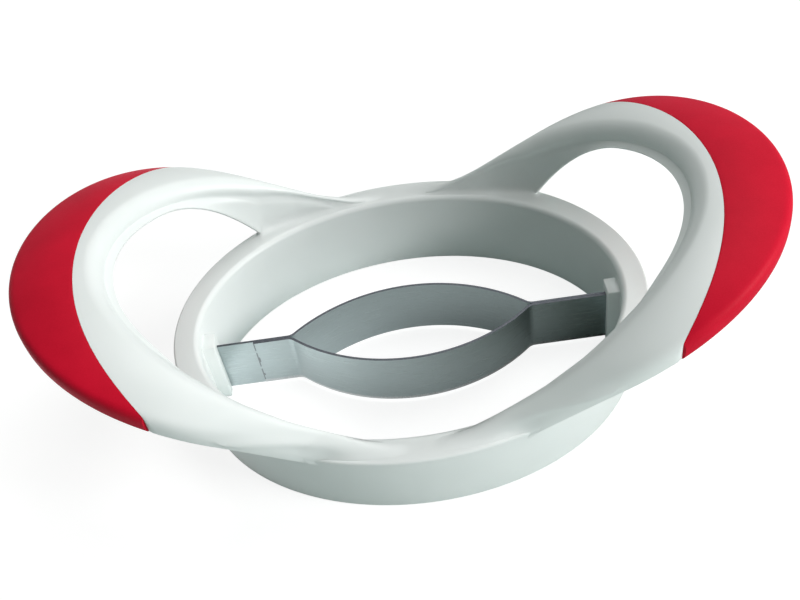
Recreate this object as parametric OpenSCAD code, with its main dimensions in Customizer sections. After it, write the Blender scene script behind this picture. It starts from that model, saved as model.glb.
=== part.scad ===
// Mango slicer: an oval ring with two swept-up loop handles, soft grips and a pair of bent steel blades.
// Millimetres. The origin is the centre of the ring's base, X runs along the handles and Z is up.

/* [Ring] */
// Length of the oval opening at the rim
opening_length = 110; // [100:0.5:124]
// Width of the oval opening at the rim
opening_width = 84.6; // [78:0.2:92]
// How much shorter the opening is at the base
opening_draft = 0; // [0:0.1:2]
// Width of the flat rim at the two ends
rim_end_width = 6.6; // [4:0.1:8]
// Width of the flat rim at the front and rear
rim_side_width = 7.8; // [6:0.1:10]
// Height of the ring
ring_height = 23.5; // [20:0.5:30]
// Thickness of the ring's wall at the base
base_wall = 3.4; // [2.2:0.1:4]
// Radius of the rim's inner edge
rim_inner_round = 1.5; // [0.6:0.1:2]
// Radius of the ring's other edges
edge_round = 0.6; // [0.2:0.1:0.9]

/* [Handles] */
// Overall length over both handles
overall_length = 184; // [170:1:200]
// Length of the rounded end of a handle
handle_end_length = 46.4; // [36:0.2:58]
// Width over the handles' arms
handle_width = 94.2; // [90:0.2:104]
// Distance between the inner edges of the two finger loops
loop_span = 137.4; // [130:0.2:144]
// Length of the rounded end of a finger loop
loop_end_length = 57.4; // [45:0.2:64]
// Width between a loop's arms
loop_width = 82.6; // [76:0.2:86]
// Height that the handles' sweep reaches at their ends, before the droop
handle_height = 60.8; // [48:0.2:72]
// Distance from the middle at which the sweep is half spent
sweep_knee = 53.6; // [40:0.1:65]
// Thickness of a handle
handle_thickness = 5.3; // [4.6:0.1:8]
// How much narrower the handles are at their roots, on each side
root_waist = 3; // [0:0.1:4]
// How far a handle's outer edge droops below its inner edge, far out
handle_droop = 4.3; // [2:0.1:7]
// How much further it droops at the roots
root_droop = 2.8; // [0:0.1:4]
// Softness of the turn at which the droop leaves the rim's level
droop_turn = 2; // [1:0.1:4]
// Depth of the round nose along the outer edge
nose_length = 5.7; // [3:0.1:7]
// Radius of the soft ridge along the finger loop
ridge_round = 4.6; // [2:0.1:5]
// Lean of the finger loop's wall
wall_lean = 1.6; // [0.2:0.1:3]
// Distance from the middle at which the arms' roots start to deepen
root_start = 60; // [52:0.5:66]
// Radius of the fillet under an arm's root
root_round = 15; // [10:0.5:30]

/* [Grips] */
// Distance from the middle to a grip's inner edge
grip_start = 76; // [74:0.2:82]
// Radius of a grip's inner edge, seen from above
grip_edge_radius = 64; // [50:0.5:74]
// Thickness of a grip's skin
grip_skin = 1.3; // [0.8:0.1:1.6]
// Diameter of the posts that lock a grip through its tongue
post_diameter = 4; // [2:0.1:5]
// Angle between neighbouring posts, seen from the middle
post_angle = 11; // [6:0.5:12]
// Gap along the joint between a grip and its tongue
grip_gap = 0.1; // [0.05:0.01:0.2]

/* [Blades] */
// Thickness of a steel strip
strip_thickness = 0.7; // [0.4:0.05:1]
// Height of a strip
strip_height = 16.2; // [12:0.1:17]
// Height of the cutting edge above the ring's base
edge_lift = 1; // [0.2:0.1:1.5]
// Height of the ground bevel
bevel_height = 1.6; // [0.8:0.1:3]
// Thickness left at the cutting edge
edge_thickness = 0.12; // [0.06:0.01:0.3]
// Length of the eye that passes the stone
eye_length = 63.4; // [54:0.2:72]
// Width of the eye
eye_width = 27; // [20:0.2:34]
// Radius of the bends where the eye meets its tails
bend_radius = 3; // [1.5:0.1:6]
// How much thinner and lower a strip is at its bends
bend_thinning = 0.04; // [0.02:0.01:0.05]
// Distance from the middle at which the front strip's left tail ends on the rear strip
lap_end = 42; // [39:0.2:47]

/* [Blade seats] */
// Distance that a boss stands in from the ring's inner wall
boss_depth = 3.3; // [3:0.1:6]
// Width of a boss
boss_width = 5.6; // [5:0.1:9]
// Height of a boss above the strips
boss_cap = 2.6; // [1.5:0.1:3]
// Depth of a tail inside its seat
tail_depth = 4.6; // [4.4:0.1:5.6]
// Diameter of the key that passes through a tail
key_diameter = 2.4; // [1.5:0.1:3]
// Gap round a tail and its key
seat_gap = 0.05; // [0.02:0.01:0.1]

/* [Hidden] */

// Half lengths and half widths of the ring's four ovals
opening_top = [opening_length / 2, opening_width / 2];
opening_base = [(opening_length - opening_draft) / 2, opening_width / 2];
rim_outer = opening_top + [rim_end_width, rim_side_width];
base_outer = opening_base + [base_wall, base_wall];

// How far the wings' roots lie inside the ring: below the rim, behind the opening and the outer edge
rim_sink = 0.15;
opening_sink = 0.1;
outer_sink = 2;
root_depth = 4;

// Softness of the lines along which the wings leave the ring's inside and outside
inner_blend = 0.6;
outer_blend = 2;

// How fast the handles' waist fades away from the roots
waist_power = 6;

// The most of a wing's width that its wall, and that its ridge or its nose, may take
wall_share = 1 / 5;
edge_share = 1 / 3;

// Facets round the ring, along a grip and an arm, across the rounded edges, and round rods and bends
ring_facets = 96;
grip_facets = 28;
arm_facets = 36;
ridge_facets = 4;
nose_facets = 4;
edge_facets = 2;
rod_facets = 48;
bend_facets = 180;

// How far a cut runs past the face that it opens, and how many degrees a bend runs into the eye and the tail
overrun = 1;
bend_overrun = 2;

// Height and rise of the handles' sweep if it went on for ever
sweep_rise = (handle_height - ring_height + rim_sink) * (1 + pow(2 * sweep_knee / overall_length, 2));

// A grip ends where this is left between its two edges, which is short of the widest angle
grip_tip = 0.6;
widest_angle = 60;
halvings = 30;

// The grip's posts, as steps of the post angle from the middle of the handle
post_steps = [-1, 0, 1];

// The blades' places: the face of a boss, the tails' ends and the keys
boss_face = opening_base.x - boss_depth;
tail_end = boss_face + tail_depth;
key_place = boss_face + tail_depth / 2;
strip_top = edge_lift + strip_height;
key_height = edge_lift + strip_height / 2;

// The eye: a tail's middle plane, the radius of an eye arc, its centre, and the centres of the bends
tail_offset = strip_thickness / 2;
eye_bulge = eye_width / 2 - strip_thickness;
eye_radius = (pow(eye_length / 2, 2) + pow(eye_bulge, 2)) / (2 * eye_bulge);
eye_centre = eye_radius - eye_bulge - tail_offset;
bend_centre = -tail_offset - bend_radius;
bend_place = sqrt(pow(eye_radius + bend_radius, 2) - pow(eye_centre - bend_centre, 2));
bend_angle = atan2(bend_place, eye_centre - bend_centre);

// Colours
white_plastic = "whitesmoke";
red_rubber = "crimson";
blade_steel = "silver";

// Places in the list that describes a wing's section
INNER = 0;
WALL = 1;
RIDGE = 2;
NOSE = 3;
OUTER = 4;

function reversed(list) = [for (k = [len(list) - 1 : -1 : 0]) list[k]];

function between(from, to, steps) = [for (k = [0 : steps - 1]) from + (to - from) * k / steps];

// The larger of two lengths, with a soft turn where they are equal
function soft_max(a, b, softness) = (a + b + norm([a - b, softness])) / 2;

// The smaller of two lengths, likewise
function soft_min(a, b, softness) = -soft_max(-a, -b, softness);

// Distance from the middle to an oval, in the direction of an angle
function oval_radius(half, angle) = 1 / norm([cos(angle) / half.x, sin(angle) / half.y]);

// The same for a stadium with elliptical ends: half its length, the length of an end and half its width
function stadium_radius(reach, end, half_width, angle) =
    let (
        c = abs(cos(angle)),
        s = abs(sin(angle)),
        start = reach - end,
        square = pow(c / end, 2) + pow(s / half_width, 2),
        linear = c * start / pow(end, 2),
        constant = pow(start / end, 2) - 1
    )
    s * start >= c * half_width
        ? half_width / s
        : (linear + sqrt(pow(linear, 2) - square * constant)) / square;

// The edges of the band that forms both handles: it keeps to the rim at the front and rear
function wing_inner(angle) = soft_max(
    oval_radius(opening_top, angle) + opening_sink,
    stadium_radius(loop_span / 2, loop_end_length, loop_width / 2, angle),
    inner_blend
);

function wing_outer(angle) = soft_max(
    oval_radius(rim_outer - [outer_sink, outer_sink], angle),
    stadium_radius(overall_length / 2, handle_end_length, handle_width / 2, angle)
        - root_waist * pow(sin(angle), waist_power),
    outer_blend
);

// Inner edge, top of the wall, ridge radius, nose length and outer edge of a wing's section
function wing_edges(angle) =
    let (
        inner = wing_inner(angle),
        outer = wing_outer(angle),
        width = outer - inner
    )
    [
        inner,
        inner + min(wall_lean, width * wall_share),
        min(ridge_round, width * edge_share),
        min(nose_length, width * edge_share),
        outer
    ];

// A share that grows from none at the middle to a half at the knee and one far out
function knee_share(x, knee) = x * x / (x * x + knee * knee);

// Height of the handles' top along their length: level at the ring and sweeping up to the ends
function sweep_height(x) = ring_height - rim_sink + sweep_rise * knee_share(x, sweep_knee);

// Share of the full thickness that a round nose leaves at a distance from the middle
function nose_share(radius, tip, length) =
    radius >= tip ? 0 : sqrt(1 - pow(max(0, radius - tip + length) / length, 2));

function width_share(radius, edges) = (radius - edges[INNER]) / (edges[OUTER] - edges[INNER]);

function wing_middle(radius, angle, edges) =
    let (
        x = radius * cos(angle),
        share = knee_share(x, sweep_knee),
        full_droop = handle_droop + root_droop * (1 - share),
        droop = max(0, soft_min(sweep_rise * share, full_droop, droop_turn))
    )
    sweep_height(x) - handle_thickness / 2 - droop * pow(width_share(radius, edges), 2);

function wing_top(radius, angle, edges) =
    let (inside = min(1, max(0, edges[WALL] + edges[RIDGE] - radius) / edges[RIDGE]))
    wing_middle(radius, angle, edges)
    + handle_thickness / 2 * nose_share(radius, edges[OUTER], edges[NOSE])
    - edges[RIDGE] * (1 - sqrt(1 - inside * inside));

// The underside, which deepens into a fillet where an arm grows out of the ring
function wing_bottom(radius, angle, edges) =
    let (
        plain = wing_middle(radius, angle, edges)
            - handle_thickness / 2 * nose_share(radius, edges[OUTER], edges[NOSE]),
        run = max(0, root_start - abs(radius * cos(angle))),
        web = run * run / (2 * root_round) * pow(1 - width_share(radius, edges), 2)
    )
    max(plain - web, min(plain, ring_height - root_depth));

// A grip's inner edge, and the angle at which a handle is only so much wider than that
function grip_edge(angle) =
    let (centre = grip_start - grip_edge_radius)
    centre * abs(cos(angle)) + sqrt(pow(grip_edge_radius, 2) - pow(centre * sin(angle), 2));

function tip_angle(spare, low = 0, high = widest_angle, tries = halvings) =
    let (middle = (low + high) / 2)
    tries == 0 ? middle
    : wing_outer(middle) - grip_edge(middle) > spare ? tip_angle(spare, middle, high, tries - 1)
    : tip_angle(spare, low, middle, tries - 1);

// Distances from the middle across a round nose, from its start to its tip
function nose_radii(tip, length) =
    [for (k = [0 : nose_facets]) tip - length * (1 - sin(90 * k / nose_facets))];

// Outline of the tongue inside a grip, grown by a gap: out over the top and back underneath
function tongue_outline(start, gap, angle, edges) =
    let (
        tip = edges[OUTER] - grip_skin + gap,
        length = edges[NOSE] - grip_skin + gap,
        half = handle_thickness / 2 - grip_skin + gap,
        nose = nose_radii(tip, length),
        radii = [for (r = concat([start, (start + nose[0]) / 2], nose)) max(start, r)],
        upper = [for (r = radii) [r, wing_middle(r, angle, edges) + half * nose_share(r, tip, length)]],
        lower = [for (r = radii) [r, wing_middle(r, angle, edges) - half * nose_share(r, tip, length)]]
    )
    concat(upper, reversed(lower));

// The frame's part of a wing's section: up the wall, over the top, round the tongue and back underneath
function frame_wing_section(angle) =
    let (
        edges = wing_edges(angle),
        cut = min(grip_edge(angle), edges[OUTER]),
        ridge = [for (k = [0 : ridge_facets]) edges[WALL] + edges[RIDGE] * (1 - cos(90 * k / ridge_facets))],
        nose = nose_radii(edges[OUTER], edges[NOSE]),
        top = concat(ridge, [(ridge[ridge_facets] + nose[0]) / 2], nose),
        under = concat([edges[INNER] + edge_round, (edges[INNER] + nose[0]) / 2], nose)
    )
    concat(
        [for (r = top) let (inside = min(cut, r)) [inside, wing_top(inside, angle, edges)]],
        tongue_outline(cut, 0, angle, edges),
        reversed([for (r = under) let (inside = min(cut, r)) [inside, wing_bottom(inside, angle, edges)]]),
        [[edges[INNER], wing_bottom(edges[INNER], angle, edges) + edge_round]]
    );

// A grip's section: its skin over the nose and back underneath, then round the tongue
function grip_section(angle) =
    let (
        edges = wing_edges(angle),
        start = grip_edge(angle) + grip_gap,
        nose = nose_radii(edges[OUTER], edges[NOSE]),
        radii = [for (r = concat([start, (start + nose[0]) / 2], nose)) max(start, r)]
    )
    concat(
        [for (r = radii) [r, wing_top(r, angle, edges)]],
        reversed([for (r = radii) [r, wing_bottom(r, angle, edges)]]),
        reversed(tongue_outline(start, grip_gap, angle, edges))
    );

function arc_points(centre, radius, from, to, facets) =
    [for (k = [0 : facets]) let (a = from + (to - from) * k / facets) centre + radius * [cos(a), sin(a)]];

// The ring's section: up the inner wall, over the rim and down the drafted outer wall
function ring_section(angle) =
    let (
        inner_top = oval_radius(opening_top, angle),
        inner_base = oval_radius(opening_base, angle),
        outer_top = oval_radius(rim_outer, angle),
        outer_base = oval_radius(base_outer, angle)
    )
    concat(
        [[inner_base + edge_round, 0], [inner_base, edge_round]],
        arc_points(
            [inner_top, ring_height] + rim_inner_round * [1, -1], rim_inner_round, 180, 90, ridge_facets
        ),
        arc_points([outer_top, ring_height] - edge_round * [1, 1], edge_round, 90, 0, edge_facets),
        [[outer_base, edge_round], [outer_base - edge_round, 0]]
    );

// A solid through sections that stand in upright planes about the middle, closed all round or with flat ends
module radial_loft(sections, angles, closed) {
    rows = len(sections);
    count = len(sections[0]);
    points = [for (i = [0 : rows - 1])
        for (p = sections[i]) [p[0] * cos(angles[i]), p[0] * sin(angles[i]), p[1]]];
    sides = [for (i = [0 : rows - (closed ? 1 : 2)])
        for (j = [0 : count - 1])
            let (
                here = i * count,
                next = ((i + 1) % rows) * count,
                k = (j + 1) % count
            )
            each [[here + j, next + k, here + k], [here + j, next + j, next + k]]];
    fan = concat([count - 1], [for (j = [0 : count - 2]) j]);
    ends = closed ? [] : [fan, [for (j = reversed(fan)) (rows - 1) * count + j]];
    polyhedron(points, concat(sides, ends));
}

module ring() {
    angles = between(0, 360, ring_facets);
    radial_loft([for (a = angles) ring_section(a)], angles, true);
}

// Both handles, as one band round the rim
module wings() {
    tip = tip_angle(0);
    angles = concat(
        between(-tip, tip, grip_facets),
        between(tip, 180 - tip, arm_facets),
        between(180 - tip, 180 + tip, grip_facets),
        between(180 + tip, 360 - tip, arm_facets)
    );
    radial_loft([for (a = angles) frame_wing_section(a)], angles, true);
}

// The block on the ring's inner wall that holds the tails on the right
module boss() {
    depth = boss_depth + base_wall / 2;
    translate([boss_face, -boss_width / 2, 0]) cube([depth, boss_width, strip_top + boss_cap]);
}

// The space for the tails in the right boss, between the given faces
module tail_slot(front, rear) {
    translate([boss_face - overrun, front - seat_gap, -overrun])
        cube([overrun + tail_depth + seat_gap, rear - front + 2 * seat_gap, overrun + strip_top + seat_gap]);
}

// A rod across the tails on the right
module cross_rod(diameter, length) {
    translate([key_place, 0, key_height]) rotate([90, 0, 0])
        cylinder(d = diameter, h = length, center = true, $fn = rod_facets);
}

// The key in the right boss, which ends inside the boss's cheeks
module key() {
    cross_rod(key_diameter, strip_thickness + boss_width / 2);
}

// An upright rod through the tongue of the right handle
module post(step, diameter, height) {
    angle = step * post_angle;
    edges = wing_edges(angle);
    radius = (grip_edge(angle) + edges[OUTER] - grip_skin) / 2;
    rotate([0, 0, angle]) translate([radius, 0, wing_middle(radius, angle, edges)])
        cylinder(d = diameter, h = height, center = true, $fn = rod_facets);
}

module post_holes() {
    for (step = post_steps) post(step, post_diameter + 2 * grip_gap, 2 * handle_thickness);
}

module frame() {
    color(white_plastic) union() {
        difference() {
            union() {
                ring();
                wings();
                boss();
                mirror([1, 0, 0]) boss();
            }
            tail_slot(-strip_thickness, strip_thickness);
            mirror([1, 0, 0]) tail_slot(0, strip_thickness);
            post_holes();
            mirror([1, 0, 0]) post_holes();
        }
        key();
        mirror([1, 0, 0]) key();
    }
}

// The grip of the right handle
module grip() {
    tip = tip_angle(grip_gap + grip_tip);
    angles = concat(between(-tip, tip, grip_facets), [tip]);
    radial_loft([for (a = angles) grip_section(a)], angles, false);
    for (step = post_steps) post(step, post_diameter, handle_thickness - grip_skin);
}

module left_grip() {
    color(red_rubber) mirror([1, 0, 0]) grip();
}

module right_grip() {
    color(red_rubber) grip();
}

// A strip's section, from its face inside the eye to its bevelled face outside, with all sides let in
module strip_section(face, outwards, let_in = 0) {
    inside = face + outwards * let_in;
    outside = face + outwards * (strip_thickness - let_in);
    edge = face + outwards * (edge_thickness - let_in);
    low = edge_lift + let_in;
    high = strip_top - let_in;
    polygon([[inside, low], [edge, low], [outside, low + bevel_height], [outside, high], [inside, high]]);
}

// The bend and tail at the right of a front strip
module strip_tail(end, keyed) {
    translate([bend_place, bend_centre, 0]) rotate([0, 0, 90 - bend_overrun])
        rotate_extrude(angle = bend_angle + 2 * bend_overrun, $fn = bend_facets)
            strip_section(bend_radius + strip_thickness / 2, -1, bend_thinning / 2);
    difference() {
        translate([bend_place, 0, 0]) rotate([90, 0, 90])
            linear_extrude(end - bend_place) strip_section(0, -1);
        if (keyed) cross_rod(key_diameter + 2 * seat_gap, 2 * (strip_thickness + overrun));
    }
}

module strip(left_end, right_end, left_keyed) {
    translate([0, eye_centre, 0]) rotate([0, 0, -90 - bend_angle])
        rotate_extrude(angle = 2 * bend_angle, $fn = bend_facets)
            strip_section(eye_radius - strip_thickness / 2, 1);
    strip_tail(right_end, true);
    mirror([1, 0, 0]) strip_tail(left_end, left_keyed);
}

module front_blade() {
    color(blade_steel) strip(lap_end, tail_end, false);
}

module rear_blade() {
    color(blade_steel) mirror([0, 1, 0]) strip(tail_end, tail_end, true);
}

frame();
left_grip();
right_grip();
front_blade();
rear_blade();
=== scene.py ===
"""Looks of the mango slicer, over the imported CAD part. Lengths are in millimetres until a mesh is made."""
import math

import bmesh
import bpy
import numpy as np
from mathutils import Matrix, Vector
from mathutils.bvhtree import BVHTree

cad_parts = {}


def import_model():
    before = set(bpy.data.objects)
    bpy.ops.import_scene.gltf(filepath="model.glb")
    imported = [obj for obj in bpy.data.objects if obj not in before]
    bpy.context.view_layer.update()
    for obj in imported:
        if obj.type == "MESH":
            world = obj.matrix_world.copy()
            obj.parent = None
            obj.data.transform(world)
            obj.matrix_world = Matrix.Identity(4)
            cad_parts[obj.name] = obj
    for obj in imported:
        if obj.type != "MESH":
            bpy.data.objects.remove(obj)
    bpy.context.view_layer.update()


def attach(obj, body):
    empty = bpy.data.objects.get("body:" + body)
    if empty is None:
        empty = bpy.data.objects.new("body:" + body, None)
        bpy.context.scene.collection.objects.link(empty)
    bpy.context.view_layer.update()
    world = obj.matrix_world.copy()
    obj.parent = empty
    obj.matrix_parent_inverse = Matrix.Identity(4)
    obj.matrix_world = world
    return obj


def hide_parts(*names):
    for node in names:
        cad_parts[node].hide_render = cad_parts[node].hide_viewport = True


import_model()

MM = 0.001

# The ring
OPENING = np.array([55.0, 42.3])
RIM_OUTER = OPENING + [6.6, 7.8]
BASE_OUTER = OPENING + [3.4, 3.4]
RING_HEIGHT = 23.5
RIM_ROUND = 1.5
EDGE_ROUND = 0.6

# The handles. Their outer edge, its droop and reach, and the ridge at the loops' ends follow the photograph
# a little more closely than the CAD does.
REACH, END, HALF_WIDTH = 92.4, 46.4, 47.1
LOOP_REACH, LOOP_END, LOOP_HALF = 68.7, 57.4, 41.3
HANDLE_HEIGHT, SWEEP_KNEE = 60.8, 53.6
THICKNESS = 5.3
ROOT_WAIST, WAIST_POWER = 3.0, 6
DROOP, ROOT_DROOP, DROOP_TURN = 4.8, 2.8, 2.0
NOSE, NOSE_POWER, NOSE_SET_BACK = 2.4, 3.1, 0.5
RIDGE, END_RIDGE, LEAN = 4.6, 3.6, 1.6
GROOVE, GROOVE_WIDTH = 0.7, 1.1
GROOVE_FROM, GROOVE_RUN = 1, 5
ROOT_START, ROOT_ROUND, ROOT_DEPTH = 60.0, 15.0, 4.0
RIM_SINK, OPENING_SINK, OUTER_SINK = 0.15, 0.1, 2.0
INNER_BLEND, OUTER_BLEND = 0.6, 2.0
WALL_PART, EDGE_PART = 5, 3
SWEEP_RISE = (HANDLE_HEIGHT - RING_HEIGHT + RIM_SINK) * (1 + (SWEEP_KNEE / REACH) ** 2)

# The grips
GRIP_START, GRIP_RADIUS = 76.0, 64.0
SKIN, GAP, TIP = 1.3, 0.1, 0.6
SEAM_GAP, SEAM_ROUND, SEAM_FADE = 0.04, 0.12, 4
WIDEST_TIP, HALVINGS = 60, 40

# The blades
STRIP, STRIP_HEIGHT, EDGE_LIFT = 0.7, 16.2, 1.0
BEVEL, EDGE_THICKNESS, EDGE_BREAK, TOP_BREAK = 1.6, 0.12, 0.02, 0.06
EYE_LENGTH, EYE_WIDTH, BEND = 63.4, 27.0, 3.0
LAP_END = 42.0
# Steps by which painted shade runs in from the front strip's lap end, as a jagged dark band, at each height
# from the bevel up
PAINTED_LAP_SHADE = (1, 1, 2, 1, 1, 0, 1, 1, 2, 2, 1, 1, 0, 1, 1, 1)
# Places of the materials that follow the brushed one, the last being the painted shade at the lap end
GROUND_FACE, SHEARED_FACE, PAINTED_LAP_SHADE_FACE = 1, 2, 3
STRIP_TOP = EDGE_LIFT + STRIP_HEIGHT
BOSS_DEPTH, BOSS_WIDTH, BOSS_CAP, BOSS_BREAK = 3.3, 5.6, 2.6, 0.28
TAIL_DEPTH, SEAT_GAP = 4.6, 0.05
UV_LENGTH = 100
BOSS_FACE = OPENING[0] - BOSS_DEPTH
TAIL_END = BOSS_FACE + TAIL_DEPTH

# Points across the sections, sections round the solids, and points along a strip
RIDGE_POINTS, ACROSS_POINTS, ROUND_POINTS, WALL_POINTS = 13, 20, 7, 14
TONGUE_POINTS, TONGUE_NOSE_POINTS = 8, 9
LIP_POINTS, GRIP_POINTS, CORNER_POINTS = 6, 29, 9
RING_SECTIONS, END_SECTIONS, ARM_SECTIONS, GRIP_SECTIONS = 360, 96, 150, 181
TAIL_POINTS, BEND_POINTS, EYE_POINTS = 30, 24, 120

# Distances in metres under which points fall together and faces vanish, and angles in degrees that stay sharp
MERGE, VANISH = 2e-6, 1e-7
SHARP, SHARP_STRIP = 40, 14

# The fillets between the ring and the handles: voxel of the merged copy, and rounds of easing. Where the arms
# run out on the rim, nearer to the middle than the far one of two distances, everything over the rim is eased.
# Elsewhere only the corner within a reach of both is filled.
VOXEL = 0.35
EASING, EASING_STEP = 80, 0.5
RUN_OUT, RUN_OUT_REACH = (18.0, 28.0), 5.5
CORNER, CORNER_REACH = 0.7, 4.0

# The share of the ring's height from which anything is eased, the turn between two surfaces that eases in full,
# the distances over which easing fades in above the rim and outwards from its inner edge, how steeply it fades
# with the reach, the rounds that even it out, and the least that counts
EASED_FROM, FULL_TURN = 0.4, 0.05
RIM_FADE, EDGE_FADE, FADE_GAIN = 0.8, 2.5, 1.6
EVEN_ROUNDS, LEAST = 6, 0.01

# The easing from which the run-outs are shown, the height from which the corners are, and how far the run-outs
# stand over the plain surfaces and all dip under them at their ends
SHOWN = 0.08
LIFT = 0.012
STAND = 0.015
DIP = 0.03
FILLET_DEPTH = 0.8
PINCH_ROUNDS, ISLAND_FACES = 12, 1000

# Where the plain handles are sunk under the run-outs: how far off, how much alike they have to face, and how
# far aside, first plain and then as a share of the height
SINK_REACH, SINK_FACING = 3, 0.3
SINK_ASIDE, SINK_SLOPE = 0.1, 0.4

# The photograph's size in pixels and the camera's sensor in millimetres
IMAGE_WIDTH, IMAGE_HEIGHT = 800, 600
SENSOR = 36


def oval_radius(half, a):
    return 1 / math.hypot(math.cos(a) / half[0], math.sin(a) / half[1])


def stadium_radius(reach, end, half, a):
    c, s = abs(math.cos(a)), abs(math.sin(a))
    start = reach - end
    if s * start >= c * half:
        return half / s
    square = (c / end) ** 2 + (s / half) ** 2
    linear = c * start / end ** 2
    return (linear + math.sqrt(linear ** 2 - square * ((start / end) ** 2 - 1))) / square


def soft_max(a, b, softness):
    return (a + b + math.hypot(a - b, softness)) / 2


def soft_min(a, b, softness):
    return (a + b - np.hypot(a - b, softness)) / 2


def wing_outer(a):
    plain = stadium_radius(REACH, END, HALF_WIDTH, a)
    waist = ROOT_WAIST * math.sin(a) ** WAIST_POWER
    set_back = NOSE_SET_BACK * (plain * math.sin(a) / HALF_WIDTH) ** 2
    return soft_max(oval_radius(RIM_OUTER - OUTER_SINK, a), plain - waist - set_back, OUTER_BLEND)


def wing_inner(a):
    return soft_max(oval_radius(OPENING, a) + OPENING_SINK,
                    stadium_radius(LOOP_REACH, LOOP_END, LOOP_HALF, a), INNER_BLEND)


def grip_edge(a):
    centre = GRIP_START - GRIP_RADIUS
    return centre * abs(math.cos(a)) + math.sqrt(GRIP_RADIUS ** 2 - (centre * math.sin(a)) ** 2)


def tip_angle(spare):
    """The angle at which a spare width is left between a grip's two edges."""
    low, high = 0.0, math.radians(WIDEST_TIP)
    for _ in range(HALVINGS):
        middle = (low + high) / 2
        if wing_outer(middle) - grip_edge(middle) > spare:
            low = middle
        else:
            high = middle
    return (low + high) / 2


class Wing:
    """A handle's section in the upright plane at an angle about the middle."""

    def __init__(self, angle):
        self.angle = angle
        self.inner, self.outer = wing_inner(angle), wing_outer(angle)
        width = self.outer - self.inner
        self.wall = self.inner + min(LEAN, width / WALL_PART)
        aside = min(1, (self.inner * math.sin(angle) / LOOP_HALF) ** 2)
        self.ridge = min(END_RIDGE + (RIDGE - END_RIDGE) * aside, width / EDGE_PART)
        self.nose = min(NOSE, width / EDGE_PART)

    def share(self, r):
        return (r - self.inner) / (self.outer - self.inner)

    def middle(self, r):
        x = (r * math.cos(self.angle)) ** 2
        swept = x / (x + SWEEP_KNEE ** 2)
        droop = np.maximum(0, soft_min(SWEEP_RISE * swept, DROOP + ROOT_DROOP * (1 - swept), DROOP_TURN))
        return RING_HEIGHT - RIM_SINK + SWEEP_RISE * swept - THICKNESS / 2 - droop * self.share(r) ** 2

    @staticmethod
    def nose_share(r, tip, length):
        along = np.clip(r - tip + length, 0, length) / length
        return np.clip(1 - along ** NOSE_POWER, 0, 1) ** (1 / NOSE_POWER)

    def top(self, r):
        inside = np.clip((self.wall + self.ridge - r) / self.ridge, 0, 1)
        return (self.middle(r) + THICKNESS / 2 * self.nose_share(r, self.outer, self.nose)
                - self.ridge * (1 - np.sqrt(1 - inside ** 2)))

    def bottom(self, r):
        plain = self.middle(r) - THICKNESS / 2 * self.nose_share(r, self.outer, self.nose)
        run = np.clip(ROOT_START - np.abs(r * math.cos(self.angle)), 0, None)
        web = run ** 2 / (2 * ROOT_ROUND) * (1 - self.share(r)) ** 2
        return np.maximum(plain - web, np.minimum(plain, RING_HEIGHT - ROOT_DEPTH))


def nose_radii(tip, length, count):
    return tip - length * (1 - np.sin(np.linspace(0, math.pi / 2, count)))


def stacked(r, z):
    return np.stack([r, z], 1)


def tongue_outline(wing, start, gap):
    """The tongue that carries a grip, outwards along its top and back along its underside."""
    tip, length, half = wing.outer - SKIN + gap, wing.nose - SKIN + gap, THICKNESS / 2 - SKIN + gap
    nose = nose_radii(tip, length, TONGUE_NOSE_POINTS)
    r = np.maximum(start, np.concatenate([np.linspace(start, nose[0], TONGUE_POINTS)[:-1], nose]))
    reach = np.where(r < tip, half * Wing.nose_share(r, tip, length), 0)
    return np.concatenate([stacked(r, wing.middle(r) + reach), stacked(r, wing.middle(r) - reach)[::-1]])


def frame_section(angle):
    """A handle's outline up to the grip, with a shallow groove along its inner wall."""
    wing = Wing(angle)
    cut = min(grip_edge(angle), wing.outer)
    ridge = wing.wall + wing.ridge * (1 - np.cos(np.linspace(0, math.pi / 2, RIDGE_POINTS)))
    across = np.sin(np.linspace(0, math.pi / 2, ACROSS_POINTS))
    top = np.concatenate([ridge, ridge[-1] + (cut - ridge[-1]) * across[1:]])
    under = wing.inner + EDGE_ROUND + (cut - wing.inner - EDGE_ROUND) * across
    turn = np.linspace(0, math.pi / 2, ROUND_POINTS)[1:]
    edge = stacked(under[0] - EDGE_ROUND * np.sin(turn),
                   wing.bottom(under[:1]) + EDGE_ROUND * (1 - np.cos(turn)))
    over = stacked(top, wing.top(top))
    wall = edge[-1] + (over[0] - edge[-1]) * np.linspace(0, 1, WALL_POINTS)[1:-1, None]
    height = over[0][1] - edge[-1][1]
    depth = GROOVE * min(1, max(0, height - GROOVE_FROM) / GROOVE_RUN)
    for side in (wall, over):
        off = (side[:, 1] - over[0][1] + GROOVE_WIDTH / 2) / GROOVE_WIDTH
        side[:, 0] += depth * np.exp(-off ** 2) * (side[:, 0] < cut)
    return np.concatenate([
        over,
        tongue_outline(wing, cut, 0),
        stacked(under, wing.bottom(under))[::-1],
        edge,
        wall,
    ])


def grip_section(angle):
    """A grip's outline, with its edges at the seam let down so that they catch the light as a fine groove."""
    wing = Wing(angle)
    start = grip_edge(angle) + SEAM_GAP
    seam = SEAM_ROUND * min(1.0, (wing.outer - start) / SEAM_FADE)
    turn = np.linspace(0, math.pi / 2, LIP_POINTS)
    lip = start + seam * (1 - np.cos(turn))
    across = np.sin(np.linspace(0, math.pi / 2, GRIP_POINTS))[1:]
    r = np.concatenate([lip, lip[-1] + (wing.outer - lip[-1]) * across])
    drop = np.concatenate([seam * (1 - np.sin(turn)), np.zeros(len(across))])
    return np.concatenate([
        stacked(r, wing.top(r) - drop),
        stacked(r, wing.bottom(r) + drop)[::-1],
        tongue_outline(wing, start, GAP)[::-1],
    ])


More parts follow.
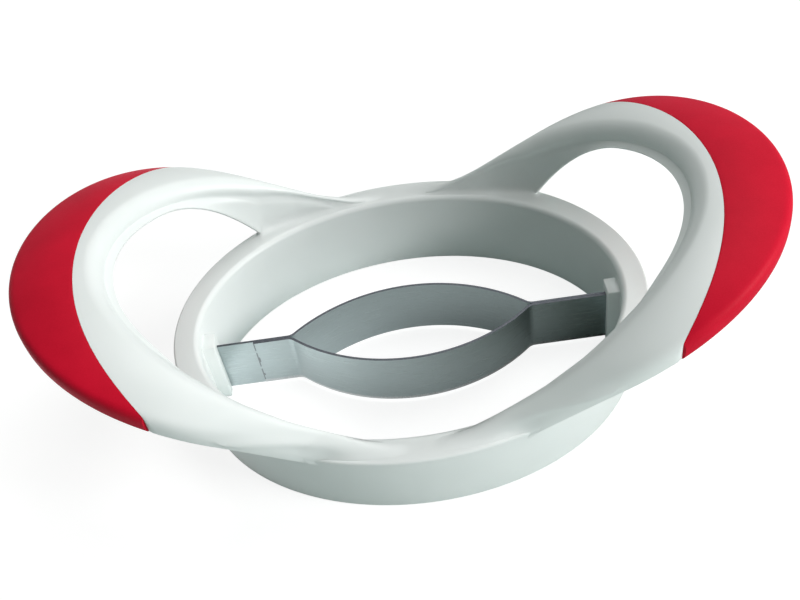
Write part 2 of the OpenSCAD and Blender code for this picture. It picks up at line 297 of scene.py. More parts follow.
def ring_section(angle):
    inner = oval_radius(OPENING, angle)
    outer, foot = oval_radius(RIM_OUTER, angle), oval_radius(BASE_OUTER, angle)
    turn = np.linspace(0, math.pi / 2, CORNER_POINTS)

    def corner(r, z, radius, first):
        a = first - turn
        return stacked(r + radius * np.cos(a), z + radius * np.sin(a))

    return np.concatenate([
        corner(inner + EDGE_ROUND, EDGE_ROUND, EDGE_ROUND, 1.5 * math.pi),
        corner(inner + RIM_ROUND, RING_HEIGHT - RIM_ROUND, RIM_ROUND, math.pi),
        corner(outer - EDGE_ROUND, RING_HEIGHT - EDGE_ROUND, EDGE_ROUND, math.pi / 2),
        corner(foot - EDGE_ROUND, EDGE_ROUND, EDGE_ROUND, 0),
    ])


def loft(sections, angles, closed):
    """Vertices and faces of a solid through sections that stand about the middle."""
    count = len(sections[0])
    verts = [(p[0] * math.cos(a), p[0] * math.sin(a), p[1]) for s, a in zip(sections, angles) for p in s]
    faces = []
    rows = len(sections)
    for i in range(rows if closed else rows - 1):
        here, after = i * count, (i + 1) % rows * count
        for j in range(count):
            k = (j + 1) % count
            faces.append((here + j, after + j, after + k, here + k))
    if not closed:
        faces.append(tuple(range(count)))
        faces.append(tuple(range((rows - 1) * count, rows * count))[::-1])
    return verts, faces


def clean_mesh(name, verts, faces):
    """A mesh in metres with points that fall together merged and its faces turned outwards."""
    mesh = bpy.data.meshes.new(name)
    mesh.from_pydata([tuple(c * MM for c in v) for v in verts], [], faces)
    work = bmesh.new()
    work.from_mesh(mesh)
    bmesh.ops.remove_doubles(work, verts=work.verts, dist=MERGE)
    bmesh.ops.dissolve_degenerate(work, edges=work.edges, dist=VANISH)
    bmesh.ops.recalc_face_normals(work, faces=work.faces)
    work.to_mesh(mesh)
    work.free()
    return mesh


def placed(name, mesh):
    piece = bpy.data.objects.new(name, mesh)
    bpy.context.scene.collection.objects.link(piece)
    return piece


def with_modifiers(piece):
    """Replaces a piece's mesh by what its modifiers make of it."""
    bpy.context.view_layer.update()
    made = bpy.data.meshes.new_from_object(piece.evaluated_get(bpy.context.evaluated_depsgraph_get()))
    piece.modifiers.clear()
    piece.data = made
    return made


def smooth(mesh):
    """Smooth shading, but for sharp edges."""
    mesh.polygons.foreach_set("use_smooth", np.ones(len(mesh.polygons), bool))
    mesh.set_sharp_from_angle(angle=math.radians(SHARP))


def corner_normals(mesh):
    values = np.empty(len(mesh.loops) * 3)
    mesh.corner_normals.foreach_get("vector", values)
    return values.reshape(-1, 3)


def tree_of(mesh):
    return BVHTree.FromPolygons([v.co[:] for v in mesh.vertices], [p.vertices[:] for p in mesh.polygons])


def ring_mesh():
    angles = np.linspace(0, 2 * math.pi, RING_SECTIONS, endpoint=False)
    return clean_mesh("ring", *loft([ring_section(a) for a in angles], angles, True))


def wings_mesh():
    tip = tip_angle(0)
    angles = np.concatenate([
        np.linspace(-tip, tip, END_SECTIONS, endpoint=False),
        np.linspace(tip, math.pi - tip, ARM_SECTIONS, endpoint=False),
        np.linspace(math.pi - tip, math.pi + tip, END_SECTIONS, endpoint=False),
        np.linspace(math.pi + tip, 2 * math.pi - tip, ARM_SECTIONS, endpoint=False),
    ])
    return clean_mesh("wings", *loft([frame_section(a) for a in angles], angles, True))


def coordinates(mesh, kind="co"):
    values = np.empty(len(mesh.vertices) * 3)
    mesh.vertices.foreach_get(kind, values)
    return values.reshape(-1, 3)


def eased(mesh, values, weight, rounds):
    """Values at a mesh's vertices, each moved towards the mean of its neighbours as far as its weight says."""
    count = len(mesh.vertices)
    edges = np.empty(len(mesh.edges) * 2, int)
    mesh.edges.foreach_get("vertices", edges)
    a, b = edges.reshape(-1, 2).T
    used = (weight[a] > 0) | (weight[b] > 0)
    a, b = a[used], b[used]
    degree = np.maximum(1, np.bincount(a, minlength=count) + np.bincount(b, minlength=count))
    values = values.copy()
    for _ in range(rounds):
        total = np.stack([np.bincount(a, v[b], count) + np.bincount(b, v[a], count) for v in values.T], 1)
        values += weight[:, None] * (total / degree[:, None] - values)
    return values


def united(name, meshes):
    """One mesh of several shells, which are used up."""
    work = bmesh.new()
    for mesh in meshes:
        work.from_mesh(mesh)
        bpy.data.meshes.remove(mesh)
    mesh = bpy.data.meshes.new(name)
    work.to_mesh(mesh)
    work.free()
    return mesh


def fillet_weights(mesh, ring_tree, wing_tree):
    """How strongly each vertex is eased where an arm runs out on the rim, and in the corners."""
    run_out, corner = np.zeros(len(mesh.vertices)), np.zeros(len(mesh.vertices))
    near, far = RUN_OUT
    for v in mesh.vertices:
        x, z = abs(v.co.x) / MM, v.co.z / MM
        if z < EASED_FROM * RING_HEIGHT or x > ROOT_START:
            continue
        _, ring_normal, _, to_ring = ring_tree.find_nearest(v.co)
        if to_ring > RUN_OUT_REACH * MM:
            continue
        _, wing_normal, _, to_wing = wing_tree.find_nearest(v.co)
        reach = max(to_ring, to_wing) / MM
        turn = min(1, (1 - ring_normal.dot(wing_normal)) / FULL_TURN)
        inside = min(1, max(0, far - x) / (far - near))
        inside *= min(1, max(0, z - RING_HEIGHT + RIM_FADE) / RIM_FADE)
        across = math.hypot(v.co.x, v.co.y) / MM - wing_inner(math.atan2(v.co.y, v.co.x))
        inside *= min(1, max(0, across - RIM_ROUND) / EDGE_FADE)
        run_out[v.index] = turn * inside * min(1, FADE_GAIN * max(0, 1 - reach / RUN_OUT_REACH))
        corner[v.index] = turn * min(1, FADE_GAIN * max(0, 1 - reach / CORNER_REACH))
    return run_out, corner


def height_over(tree, co):
    near, normal, _, _ = tree.find_nearest(co)
    return (co - near).dot(normal) / MM


def fillet_mesh(ring, wings):
    """The fillets alone, cut out of a merged and eased copy of the ring and the handles, with their normals."""
    trees = tree_of(ring), tree_of(wings)
    piece = placed("fillets", united("fillets", [ring.copy(), wings.copy()]))
    merge = piece.modifiers.new("merge", "REMESH")
    merge.mode = "VOXEL"
    merge.voxel_size = VOXEL * MM
    mesh = with_modifiers(piece)
    run_out, corner = fillet_weights(mesh, *trees)
    run_out = eased(mesh, run_out[:, None], np.full(len(run_out), EASING_STEP), EVEN_ROUNDS)[:, 0]
    weight = np.maximum(run_out, CORNER * corner)
    weight[weight < LEAST] = 0
    mesh.vertices.foreach_set("co", eased(mesh, coordinates(mesh), EASING_STEP * weight, EASING).ravel())
    mesh.update()
    faces = np.empty(len(mesh.loops), int)
    mesh.loops.foreach_get("vertex_index", faces)
    faces = faces.reshape(-1, 4)
    run_out = run_out > SHOWN
    shown = run_out.copy()
    for index in np.nonzero((corner > 0) & ~run_out)[0]:
        shown[index] = min(height_over(tree, mesh.vertices[index].co) for tree in trees) > LIFT
    shift = np.where(run_out, STAND, np.where(shown, 0, -DIP))
    normal = coordinates(mesh, "normal")
    co = coordinates(mesh) + MM * shift[:, None] * normal
    sink_under(wings, BVHTree.FromPolygons(co.tolist(), faces[run_out[faces].all(1)].tolist()))
    bpy.data.objects.remove(piece)
    bpy.data.meshes.remove(mesh)
    outside = closed_up(faces, grown(faces, grown(faces, shown)))
    kept = np.zeros(len(shown), bool)
    kept[outside] = True
    return slab("fillets", co[kept], normal[kept], (np.cumsum(kept) - 1)[outside])


def grown(faces, marked):
    """Marks all vertices of the faces that have a marked one."""
    more = np.zeros(len(marked), bool)
    more[faces[marked[faces].any(1)]] = True
    return more


def pinched(faces, count):
    """Marks the vertices at which a sheet of quads meets itself corner to corner."""
    edges = np.stack([faces, np.roll(faces, -1, 1)], 2).reshape(-1, 2)
    edges = np.unique(np.sort(edges, 1), axis=0)
    return np.bincount(edges.ravel(), minlength=count) - np.bincount(faces.ravel(), minlength=count) > 1


def islands(faces, count):
    """The number of the island that each face of a sheet lies on."""
    label = np.arange(count)
    while True:
        lowest = label.copy()
        np.minimum.at(lowest, faces.ravel(), np.repeat(label[faces].min(1), faces.shape[1]))
        lowest = lowest[lowest]
        if np.array_equal(lowest, label):
            return label[faces[:, 0]]
        label = lowest


def closed_up(faces, marked):
    """The faces whose vertices are all marked, filled up where they pinch, without small islands."""
    count = len(marked)
    used = marked[faces].all(1)
    for _ in range(PINCH_ROUNDS):
        tight = pinched(faces[used], count)
        if not tight.any():
            break
        used |= tight[faces].any(1)
    sheet = faces[used]
    island = islands(sheet, count)
    return sheet[np.bincount(island, minlength=count)[island] >= ISLAND_FACES]


def slab(name, co, normal, outside):
    """A closed shell that hangs under a sheet of quads, with the sheet's own normals on its outside."""
    count = len(co)
    both = np.concatenate([co, co - FILLET_DEPTH * MM * normal])
    inside = outside[:, ::-1] + count
    start, end = outside.ravel(), np.roll(outside, -1, 1).ravel()
    border = ~np.isin(start * count + end, end * count + start)
    start, end = start[border], end[border]
    rim = np.stack([end, start, start + count, end + count], 1)
    across = np.cross(both[rim[:, 2]] - both[rim[:, 0]], both[rim[:, 3]] - both[rim[:, 1]])
    across /= np.linalg.norm(across, axis=1)[:, None]
    mesh = bpy.data.meshes.new(name)
    mesh.from_pydata(both.tolist(), [], np.concatenate([outside, inside, rim]).tolist())
    normals = [normal[outside], -normal[inside - count], np.repeat(across[:, None], 4, 1)]
    return mesh, np.concatenate(normals).reshape(-1, 3)


def sink_under(mesh, tree):
    """Lowers a mesh's vertices that would stand out of the surface in a tree that faces the same way."""
    for v in mesh.vertices:
        near, normal, _, far = tree.find_nearest(v.co, SINK_REACH * MM)
        if near is None or normal.dot(v.normal) < SINK_FACING:
            continue
        over = (v.co - near).dot(normal)
        aside = math.sqrt(max(0, far ** 2 - over ** 2))
        if over > -DIP * MM and aside < SINK_ASIDE * MM + SINK_SLOPE * max(0, over):
            v.co -= normal * (over + 2 * DIP * MM)
    mesh.update()


def frame_piece():
    """The white moulding: the ring, the handles and the soft fillets between them, and the blades' seats."""
    ring, wings = ring_mesh(), wings_mesh()
    seats = [boss_mesh(side) for side in (1, -1)]
    for mesh in (ring, wings, *seats):
        smooth(mesh)
    normals = [corner_normals(mesh) for mesh in (ring, wings, *seats)]
    fillets, fillet_normals = fillet_mesh(ring, wings)
    smooth(fillets)
    mesh = united("frame_body", [ring, wings, *seats, fillets])
    mesh.normals_split_custom_set(np.concatenate([*normals, fillet_normals]).tolist())
    return placed("frame_body", mesh)


def box_mesh(low, high):
    work = bmesh.new()
    bmesh.ops.create_cube(work, size=1)
    low, high = Vector(low) * MM, Vector(high) * MM
    for v in work.verts:
        v.co = Vector(low[k] + (v.co[k] + 0.5) * (high[k] - low[k]) for k in range(3))
    mesh = bpy.data.meshes.new("box")
    work.to_mesh(mesh)
    work.free()
    return mesh


def boss_mesh(side):
    """The block that holds the tails on one side, slotted from below and with its edges broken."""
    front = -STRIP - SEAT_GAP if side > 0 else -SEAT_GAP
    back = (OPENING[0] + BASE_OUTER[0]) / 2
    past = 1
    block = placed("block", box_mesh((BOSS_FACE, -BOSS_WIDTH / 2, 0),
                                     (back, BOSS_WIDTH / 2, STRIP_TOP + BOSS_CAP)))
    slot = placed("slot", box_mesh((BOSS_FACE - past, front, -past),
                                   (TAIL_END + SEAT_GAP, STRIP + SEAT_GAP, STRIP_TOP + SEAT_GAP)))
    cut = block.modifiers.new("slot", "BOOLEAN")
    cut.operation = "DIFFERENCE"
    cut.object = slot
    cut.solver = "EXACT"
    soften = block.modifiers.new("soften", "BEVEL")
    soften.width = BOSS_BREAK * MM
    soften.segments = 3
    soften.limit_method = "ANGLE"
    soften.harden_normals = True
    mesh = with_modifiers(block)
    if side < 0:
        mesh.transform(Matrix.Scale(-1, 4, (1, 0, 0)))
        mesh.flip_normals()
    bpy.data.objects.remove(block)
    bpy.data.objects.remove(slot)
    return mesh


def grip_piece(name, side):
    tip = tip_angle(GAP + TIP)
    angles = tip * np.sin(np.linspace(-math.pi / 2, math.pi / 2, GRIP_SECTIONS))
    mesh = clean_mesh(name, *loft([grip_section(a) for a in angles], angles, False))
    if side < 0:
        mesh.transform(Matrix.Rotation(math.pi, 4, "Z"))
    smooth(mesh)
    return placed(name, mesh)


def strip_path(left_end, right_end):
    """Points, outward directions and lengths along the middle of a front strip, from left to right."""
    offset, bulge = STRIP / 2, EYE_WIDTH / 2 - STRIP
    radius = ((EYE_LENGTH / 2) ** 2 + bulge ** 2) / (2 * bulge)
    eye_y, bend_y = radius - bulge - offset, -offset - BEND
    bend_x = math.sqrt((radius + BEND) ** 2 - (eye_y - bend_y) ** 2)
    turn = math.atan2(bend_x, eye_y - bend_y)
    points, outward = [], []
    for x in np.linspace(-left_end, -bend_x, TAIL_POINTS)[:-1]:
        points.append((x, -offset))
        outward.append((0, -1))
    for a in np.linspace(0, turn, BEND_POINTS)[:-1]:
        d = np.array([math.sin(a), math.cos(a)])
        points.append(np.array([-bend_x, bend_y]) + BEND * d)
        outward.append(-d)
    for a in np.linspace(-turn, turn, EYE_POINTS)[:-1]:
        d = np.array([math.sin(a), -math.cos(a)])
        points.append(np.array([0, eye_y]) + radius * d)
        outward.append(d)
    for a in np.linspace(turn, 0, BEND_POINTS)[:-1]:
        d = np.array([-math.sin(a), math.cos(a)])
        points.append(np.array([bend_x, bend_y]) + BEND * d)
        outward.append(-d)
    for x in np.linspace(bend_x, right_end, TAIL_POINTS):
        points.append((x, -offset))
        outward.append((0, -1))
    points, outward = np.array(points, float), np.array(outward, float)
    length = np.concatenate([[0], np.cumsum(np.linalg.norm(np.diff(points, axis=0), axis=1))])
    return points, outward, length


def strip_piece(name, left_end, right_end, mirrored, painted_lap_shade=()):
    """A bent steel strip, ground along its lower edge on the outer side, with the grain's run kept as a UV map.
    Its upper edge and its ends are as sheared, and its left end may carry a jagged band of painted shade, a
    number of steps deep at each height."""
    points, outward, length = strip_path(left_end, right_end)
    t = STRIP / 2
    shoulder = STRIP_TOP - TOP_BREAK
    rise = np.linspace(EDGE_LIFT + BEVEL, shoulder, max(2, len(painted_lap_shade) + 1))
    outline = [
        (-t, EDGE_LIFT + EDGE_BREAK), (-t + EDGE_THICKNESS, EDGE_LIFT), *((t, z) for z in rise),
        (t - TOP_BREAK, STRIP_TOP), (-t + TOP_BREAK, STRIP_TOP), (-t, shoulder),
    ]
    count = len(outline)
    bevel, wall, top = 1, 2, range(count - 4, count - 1)
    sides = [math.dist(outline[k], outline[(k + 1) % count]) for k in range(count)]
    around = np.concatenate([[0], np.cumsum(sides)])
    work = bmesh.new()
    uv = work.loops.layers.uv.new("grain")
    rings = [[work.verts.new((*(p + n * u) * MM, z * MM)) for u, z in outline] for p, n in zip(points, outward)]
    for i in range(len(rings) - 1):
        for k in range(count):
            j = (k + 1) % count
            face = work.faces.new((rings[i][k], rings[i][j], rings[i + 1][j], rings[i + 1][k]))
            spots = ((i, k), (i, k + 1), (i + 1, k + 1), (i + 1, k))
            for loop, (row, place) in zip(face.loops, spots):
                loop[uv].uv = (length[row] / UV_LENGTH, around[place] / UV_LENGTH)
            if k == bevel:
                face.material_index = GROUND_FACE
            elif k in top:
                face.material_index = SHEARED_FACE
            # Painted shade: darker steel in a jagged band on the outer wall at the strip's left end
            elif wall <= k < wall + len(painted_lap_shade) and i < painted_lap_shade[k - wall]:
                face.material_index = PAINTED_LAP_SHADE_FACE
    for cap in (rings[0][::-1], rings[-1]):
        work.faces.new(cap).material_index = SHEARED_FACE
    bmesh.ops.recalc_face_normals(work, faces=work.faces)
    for face in work.faces:
        face.smooth = True
    for edge in work.edges:
        if len(edge.link_faces) == 2 and edge.calc_face_angle(0) > math.radians(SHARP_STRIP):
            edge.smooth = False
    mesh = bpy.data.meshes.new(name)
    work.to_mesh(mesh)
    work.free()
    if mirrored:
        mesh.transform(Matrix.Scale(-1, 4, (0, 1, 0)))
        mesh.flip_normals()
    return placed(name, mesh)


def shader(name):
    material = bpy.data.materials.new(name)
    material.use_nodes = True
    nodes = material.node_tree.nodes
    return material, nodes, material.node_tree.links, nodes["Principled BSDF"]


def scaled(nodes, links, source, scale):
    """Coordinates stretched by three numbers."""
    place = nodes.new("ShaderNodeMapping")
    place.inputs["Scale"].default_value = scale
    links.new(source, place.inputs["Vector"])
    return place.outputs["Vector"]


def noise(nodes, links, vector, scale, detail=3.0, roughness=0.5):
    texture = nodes.new("ShaderNodeTexNoise")
    texture.inputs["Scale"].default_value = scale
    texture.inputs["Detail"].default_value = detail
    texture.inputs["Roughness"].default_value = roughness
    links.new(vector, texture.inputs["Vector"])
    return texture.outputs["Fac"]


def ramp(nodes, links, value, low, high, start=0.35, end=0.65):
    """A value spread between two grey levels or two colours."""
    ramp_node = nodes.new("ShaderNodeValToRGB")
    spots = ramp_node.color_ramp.elements
    spots[0].position, spots[1].position = start, end
    for spot, colour in zip(spots, (low, high)):
        spot.color = (*colour, 1) if isinstance(colour, tuple) else (colour, colour, colour, 1)
    links.new(value, ramp_node.inputs["Fac"])
    return ramp_node.outputs["Color"]


def mixed(nodes, links, factor, a, b, kind="RGBA"):
    mix = nodes.new("ShaderNodeMix")
    mix.data_type = kind
    pick = {"RGBA": ("Factor_Float", "A_Color", "B_Color", "Result_Color"),
            "FLOAT": ("Factor_Float", "A_Float", "B_Float", "Result_Float")}[kind]
    by_id = {s.identifier: s for s in mix.inputs}
    for key, value in zip(pick[:3], (factor, a, b)):
        if isinstance(value, bpy.types.NodeSocket):
            links.new(value, by_id[key])
        elif isinstance(value, tuple):
            by_id[key].default_value = (*value, 1)
        else:
            by_id[key].default_value = value
    return {s.identifier: s for s in mix.outputs}[pick[3]]


def maths(nodes, links, operation, a, b, clamp=False):
    node = nodes.new("ShaderNodeMath")
    node.operation = operation
    node.use_clamp = clamp
    for socket, value in zip(node.inputs, (a, b)):
        if isinstance(value, bpy.types.NodeSocket):
            links.new(value, socket)
        else:
            socket.default_value = value
    return node.outputs[0]


def raised(nodes, links, base, value, gain):
    """A number or a value, plus another value times a gain."""
    return maths(nodes, links, "ADD", base, maths(nodes, links, "MULTIPLY", value, gain))


def bump(nodes, links, height, distance, strength=1.0, before=None):
    node = nodes.new("ShaderNodeBump")
    node.inputs["Strength"].default_value = strength
    node.inputs["Distance"].default_value = distance * MM
    links.new(height, node.inputs["Height"])
    if before is not None:
        links.new(before, node.inputs["Normal"])
    return node.outputs["Normal"]


def object_millimetres(nodes, links):
    spot = nodes.new("ShaderNodeTexCoord")
    return scaled(nodes, links, spot.outputs["Object"], (1 / MM, 1 / MM, 1 / MM))


def grain_run(nodes, links):
    """Millimetres along a strip and round its outline."""
    spot = nodes.new("ShaderNodeUVMap")
    spot.uv_map = "grain"
    return scaled(nodes, links, spot.outputs["UV"], (UV_LENGTH, UV_LENGTH, 1))


def white_plastic():
    """Satin moulded plastic: a faint moulding grain, slow tint changes, and scuffs at the foot on the board."""
    material, nodes, links, body = shader("white_plastic")
    place = object_millimetres(nodes, links)
    clouds = noise(nodes, links, place, scale=0.045, detail=2)
    tint = ramp(nodes, links, clouds, (0.790, 0.822, 0.808), (0.818, 0.846, 0.834))
    split = nodes.new("ShaderNodeSeparateXYZ")
    links.new(place, split.inputs[0])
    scuff_height = 3.0
    climb = maths(nodes, links, "DIVIDE", split.outputs["Z"], scuff_height)
    foot = maths(nodes, links, "SUBTRACT", 1.0, climb, clamp=True)
    flat = scaled(nodes, links, place, (1, 1, 5))
    marks = noise(nodes, links, flat, scale=0.5, detail=5, roughness=0.65)
    scuff = maths(nodes, links, "MULTIPLY", foot, ramp(nodes, links, marks, 0.0, 1.0, start=0.48, end=0.7))
    worn = maths(nodes, links, "MULTIPLY", scuff, 0.5)
    links.new(mixed(nodes, links, worn, tint, (0.60, 0.61, 0.59)), body.inputs["Base Color"])
    patches = noise(nodes, links, place, scale=0.16, detail=4)
    rough = raised(nodes, links, 0.34, patches, 0.12)
    links.new(raised(nodes, links, rough, scuff, 0.25), body.inputs["Roughness"])
    grain = noise(nodes, links, place, scale=5.5, detail=2)
    slow = noise(nodes, links, place, scale=0.12, detail=1)
    fine = bump(nodes, links, grain, distance=0.012, strength=0.5)
    links.new(bump(nodes, links, slow, distance=0.05, strength=0.35, before=fine), body.inputs["Normal"])
    body.inputs["Specular IOR Level"].default_value = 0.42
    body.inputs["Subsurface Weight"].default_value = 0.06
    body.inputs["Subsurface Radius"].default_value = (1.0, 0.95, 0.85)
    body.inputs["Subsurface Scale"].default_value = 1.2 * MM
    return material


def red_rubber():
    """Soft-touch red: a fine spark-eroded grain, small changes of tone and a velvety sheen."""
    material, nodes, links, body = shader("red_rubber")
    place = object_millimetres(nodes, links)
    slow = noise(nodes, links, place, scale=0.08, detail=3)
    tone = ramp(nodes, links, slow, (0.550, 0.0035, 0.0210), (0.630, 0.0050, 0.0260))
    specks = noise(nodes, links, place, scale=3.2, detail=2, roughness=0.6)
    speck = maths(nodes, links, "MULTIPLY", ramp(nodes, links, specks, 0.0, 1.0, start=0.40, end=0.72), 0.28)
    links.new(mixed(nodes, links, speck, tone, (0.700, 0.010, 0.042)), body.inputs["Base Color"])
    grain = noise(nodes, links, place, scale=2.4, detail=3, roughness=0.55)
    links.new(raised(nodes, links, 0.44, grain, 0.22), body.inputs["Roughness"])
    links.new(bump(nodes, links, grain, distance=0.035, strength=0.6), body.inputs["Normal"])
    body.inputs["Specular IOR Level"].default_value = 0.10
    body.inputs["Sheen Weight"].default_value = 0.05
    body.inputs["Sheen Roughness"].default_value = 0.45
    body.inputs["Sheen Tint"].default_value = (1.0, 0.20, 0.60, 1)
    return material


def brushed_steel():
    """Strip steel brushed along its length: fine streaks in tone, gloss and height, and some longer lines."""
    material, nodes, links, body = shader("brushed_steel")
    run = grain_run(nodes, links)
    fine = noise(nodes, links, scaled(nodes, links, run, (0.25, 14, 1)), scale=1.0, detail=4, roughness=0.6)
    broad = noise(nodes, links, scaled(nodes, links, run, (0.05, 1.6, 1)), scale=1.0, detail=3, roughness=0.5)
    lines = noise(nodes, links, scaled(nodes, links, run, (0.09, 5.0, 1)), scale=1.0, detail=2, roughness=0.4)
    scratch = ramp(nodes, links, lines, 0.0, 1.0, start=0.62, end=0.70)
    tone = ramp(nodes, links, fine, (0.355, 0.412, 0.420), (0.450, 0.514, 0.522), start=0.3, end=0.7)
    tone = mixed(nodes, links, maths(nodes, links, "MULTIPLY", broad, 0.3), tone, (0.35, 0.41, 0.415))
    tone = mixed(nodes, links, maths(nodes, links, "MULTIPLY", scratch, 0.16), tone, (0.62, 0.64, 0.65))
    links.new(tone, body.inputs["Base Color"])
    rough = raised(nodes, links, 0.22, fine, 0.16)
    links.new(raised(nodes, links, rough, scratch, -0.05), body.inputs["Roughness"])
    links.new(bump(nodes, links, fine, distance=0.006, strength=0.5), body.inputs["Normal"])
    body.inputs["Metallic"].default_value = 1.0
    body.inputs["Anisotropic"].default_value = 0.45
    return material


def ground_steel():
    """The ground edge: short strokes across the strip, finer and brighter than the brushing."""
    material, nodes, links, body = shader("ground_steel")
    across = scaled(nodes, links, grain_run(nodes, links), (7.0, 0.5, 1))
    stroke = noise(nodes, links, across, scale=1.0, detail=3, roughness=0.6)
    tone = ramp(nodes, links, stroke, (0.36, 0.38, 0.39), (0.52, 0.54, 0.55), start=0.3, end=0.7)
    links.new(tone, body.inputs["Base Color"])
    links.new(raised(nodes, links, 0.20, stroke, 0.14), body.inputs["Roughness"])
    links.new(bump(nodes, links, stroke, distance=0.005, strength=0.5), body.inputs["Normal"])
    body.inputs["Metallic"].default_value = 1.0
    return material


def sheared_steel(name, dark, light):
    """The strips' cut edges, and the painted shade at the front strip's lap end: dull, with a ragged grain
    between two tones.
    """
    material, nodes, links, body = shader(name)
    place = object_millimetres(nodes, links)
    grain = noise(nodes, links, place, scale=3.0, detail=3, roughness=0.6)
    links.new(ramp(nodes, links, grain, dark, light, start=0.3, end=0.7), body.inputs["Base Color"])
    links.new(raised(nodes, links, 0.42, grain, 0.2), body.inputs["Roughness"])
    links.new(bump(nodes, links, grain, distance=0.02, strength=0.6), body.inputs["Normal"])
    body.inputs["Metallic"].default_value = 1.0
    return material


def seen_directly(nodes, links):
    """One for rays from the camera, from gloss and through glass, and none for the light that rays gather."""
    path = nodes.new("ShaderNodeLightPath")
    either = maths(nodes, links, "MAXIMUM", path.outputs["Is Camera Ray"], path.outputs["Is Glossy Ray"])
    return maths(nodes, links, "MAXIMUM", either, path.outputs["Is Transmission Ray"])


def floor():
    """A white worktop. The camera sees a softened shadow on it, which fades to plain white further out, and the
    blades see a painted reflection on it that glows to the left and is dark to the right."""
    size, drop = 6.0, -0.02 * MM
    # Where the painted reflection for the blades turns bright, over how far, and how strongly it glows
    reflection_edge, reflection_run, reflection_glow = 45.0, 100.0, 0.62
    near_white, white_from, white_run = 0.84, 220.0, 250.0
    mesh = bpy.data.meshes.new("floor")
    corners = [(-size, -size, drop), (size, -size, drop), (size, size, drop), (-size, size, drop)]
    mesh.from_pydata(corners, [], [(0, 1, 2, 3)])
    piece = placed("floor", mesh)
    material = bpy.data.materials.new("floor")
    material.use_nodes = True
    nodes, links = material.node_tree.nodes, material.node_tree.links
    nodes.clear()
    path = nodes.new("ShaderNodeLightPath")
    direct = maths(nodes, links, "MAXIMUM", path.outputs["Is Camera Ray"], path.outputs["Is Transmission Ray"])
    gloss = path.outputs["Is Glossy Ray"]
    place = object_millimetres(nodes, links)
    split = nodes.new("ShaderNodeSeparateXYZ")
    links.new(place, split.inputs[0])
    # Painted reflection: gloss rays see the floor dark to the right and bright to the left
    inward = maths(nodes, links, "SUBTRACT", reflection_edge, split.outputs["X"])
    left = maths(nodes, links, "DIVIDE", inward, reflection_run, clamp=True)
    painted_reflection_tone = mixed(nodes, links, left, (0.26, 0.28, 0.26), (0.88, 0.90, 0.90))
    table = mixed(nodes, links, direct, (0.70, 0.80, 0.785), (0.30, 0.303, 0.30))
    matt = nodes.new("ShaderNodeBsdfDiffuse")
    links.new(mixed(nodes, links, gloss, table, painted_reflection_tone), matt.inputs["Color"])
    # The painted reflection's glow, for gloss rays only
    painted_reflection_glow = maths(nodes, links, "MULTIPLY", gloss, maths(nodes, links, "MULTIPLY", left, reflection_glow))
    reach = nodes.new("ShaderNodeVectorMath")
    reach.operation = "LENGTH"
    links.new(place, reach.inputs[0])
    beyond = maths(nodes, links, "SUBTRACT", reach.outputs["Value"], white_from)
    far = maths(nodes, links, "DIVIDE", beyond, white_run, clamp=True)
    plain = maths(nodes, links, "MULTIPLY", direct, raised(nodes, links, near_white, far, 1 - near_white))
    glow = nodes.new("ShaderNodeEmission")
    links.new(maths(nodes, links, "MAXIMUM", plain, painted_reflection_glow), glow.inputs["Strength"])
    both = nodes.new("ShaderNodeAddShader")
    links.new(matt.outputs[0], both.inputs[0])
    links.new(glow.outputs[0], both.inputs[1])
    out = nodes.new("ShaderNodeOutputMaterial")
    links.new(both.outputs[0], out.inputs["Surface"])
    mesh.materials.append(material)


def world():
    """A backdrop that is plain white where it is seen, and lights the object faintly with a tint."""
    fill, backdrop = 0.115, 1.0
    made = bpy.data.worlds.new("studio")
    bpy.context.scene.world = made
    made.use_nodes = True
    nodes, links = made.node_tree.nodes, made.node_tree.links
    sky = nodes["Background"]
    direct = seen_directly(nodes, links)
    links.new(mixed(nodes, links, direct, fill, backdrop, "FLOAT"), sky.inputs["Strength"])
    links.new(mixed(nodes, links, direct, (0.80, 1.0, 0.93), (1.0, 1.0, 1.0)), sky.inputs["Color"])


def softbox(name, toward, distance, size, level):
    """A square lamp, in metres, that lights a white surface facing it to a level where the object stands."""
    lamp = bpy.data.lights.new(name, "AREA")
    lamp.size = size
    lamp.energy = level * (math.pi * distance) ** 2
    piece = placed(name, lamp)
    piece.location = Vector(toward).normalized() * distance
    piece.rotation_euler = Vector(toward).to_track_quat("Z", "Y").to_euler()


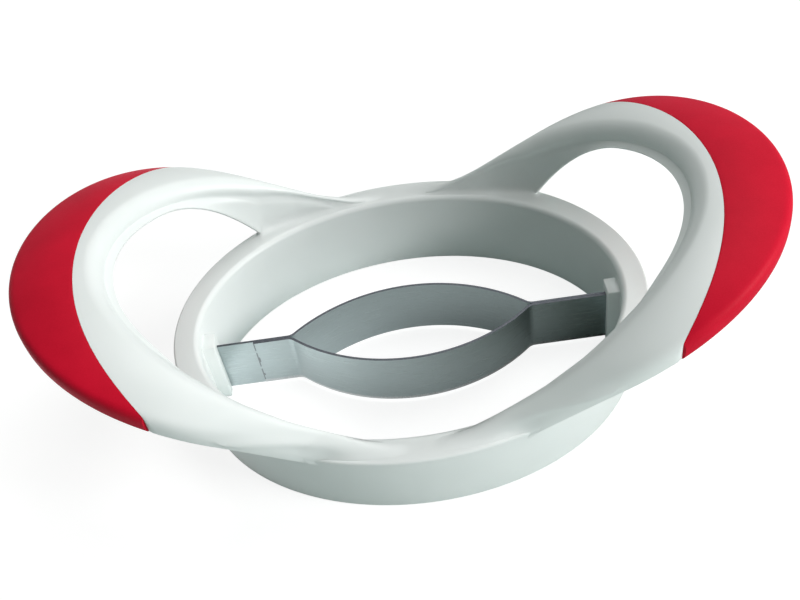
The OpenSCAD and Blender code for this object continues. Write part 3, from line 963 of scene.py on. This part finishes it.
def camera():
    """The photograph's view: focal length and aim in its pixels, turns in degrees, distance in millimetres."""
    focal, roll, rise, turn, distance = 993.61, 10.293, 44.6035, 3.3096, 274.05
    aim_x, aim_y = 417.20, 363.06
    r, e, a = (math.radians(v) for v in (roll, rise, turn))
    back = Vector((math.sin(a) * math.cos(e), -math.cos(a) * math.cos(e), math.sin(e)))
    right = Vector((math.cos(a), math.sin(a), 0))
    view = Matrix.Rotation(r, 3, "Z") @ Matrix((right, back.cross(right), back))
    shift = Vector(((aim_x - IMAGE_WIDTH / 2) * distance / focal,
                    (IMAGE_HEIGHT / 2 - aim_y) * distance / focal, -distance))
    lens = bpy.data.cameras.new("camera")
    lens.sensor_fit = "HORIZONTAL"
    lens.sensor_width = SENSOR
    lens.lens = SENSOR * focal / IMAGE_WIDTH
    lens.clip_start = 0.005
    piece = placed("camera", lens)
    back_turn = view.transposed()
    piece.matrix_world = Matrix.Translation(-(back_turn @ shift) * MM) @ back_turn.to_4x4()
    bpy.context.scene.camera = piece


def dress(piece, node, slot_name, *materials):
    for material in materials:
        piece.data.materials.append(material)
    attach(piece, "root")
    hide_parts(node)


plastic, rubber = white_plastic(), red_rubber()
sheared = sheared_steel("sheared_steel", (0.055, 0.062, 0.072), (0.115, 0.122, 0.135))
# Darker steel for the painted shade at the front strip's lap end
lap_shade_steel = sheared_steel("painted_lap_shade_steel", (0.20, 0.22, 0.23), (0.30, 0.32, 0.33))
steels = brushed_steel(), ground_steel(), sheared, lap_shade_steel
dress(frame_piece(), "frame", "frame_plastic", plastic)
dress(grip_piece("left_grip_skin", -1), "left_grip", "grip_rubber", rubber)
dress(grip_piece("right_grip_skin", 1), "right_grip", "grip_rubber", rubber)
dress(strip_piece("front_strip", LAP_END, TAIL_END, False, PAINTED_LAP_SHADE), "front_blade", "blade_steel", *steels)
dress(strip_piece("rear_strip", TAIL_END, TAIL_END, True), "rear_blade", "blade_steel", *steels)

floor()
world()
softbox("key", (0.807, -0.411, 0.423), 1.2, 0.45, 0.86)
softbox("top", (0.25, 0.32, 0.91), 1.3, 0.8, 0.43)
camera()

scene = bpy.context.scene
scene.view_settings.view_transform = "Standard"
